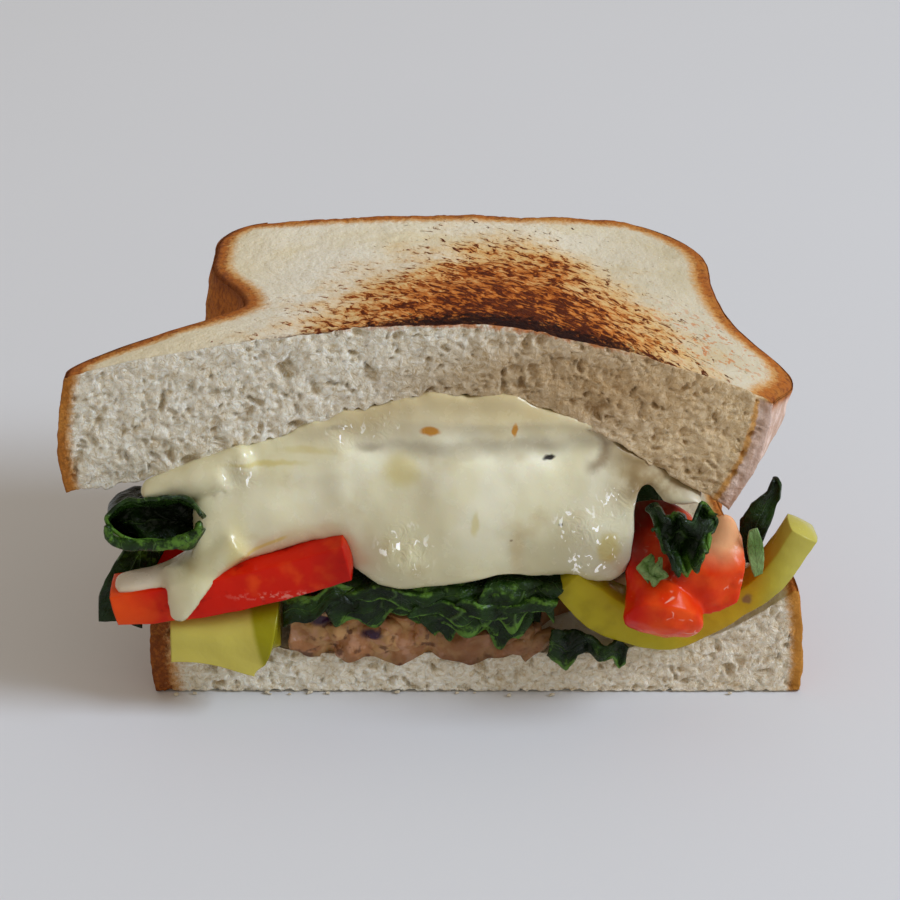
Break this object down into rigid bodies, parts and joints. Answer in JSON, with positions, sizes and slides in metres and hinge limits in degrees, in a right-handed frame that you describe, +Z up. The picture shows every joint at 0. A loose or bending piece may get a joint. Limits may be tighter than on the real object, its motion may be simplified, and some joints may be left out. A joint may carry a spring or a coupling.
{
  "type": "grilled cheese sandwich",
  "caption": "Half of a toasted sandwich standing on its bottom slice, cut face to the front, with melted cheese, peppers, leaves and an onion spread between two arched slices of white bread.",
  "frame": {"origin": "on the flat underside of the bottom slice, midway across the loaf and midway between the cut face and the back crust", "axes": "+X to the right along the cut face, +Y away from the cut face towards the back crust, +Z up"},
  "size_m": [0.1239, 0.0748, 0.0697],
  "materials": {
    "bread": "matt open crumb with a thin brown crust",
    "toasted_bread": "matt crumb, toasted brown on top",
    "onion_spread": "moist",
    "leaf": "wilted, moist",
    "cheese": "melted, glossy",
    "red_pepper": "moist, glossy",
    "yellow_pepper": "moist, glossy"
  },
  "bodies": {
    "root": {"bottom_slice": "bread", "top_slice": "toasted_bread", "onion_spread": "onion_spread", "leaf_layer": "leaf", "leaf_front_left": "leaf", "leaf_front_tip": "leaf", "leaf_left_folded": "leaf", "leaf_left_hanging": "leaf", "leaf_right_curled": "leaf", "leaf_right_outer": "leaf", "leaf_right_pale": "leaf", "cheese": "cheese", "red_strip": "red_pepper", "red_strip_rear": "red_pepper", "red_piece": "red_pepper", "yellow_ring": "yellow_pepper", "yellow_wedge": "yellow_pepper"}
  },
  "joints": []
}
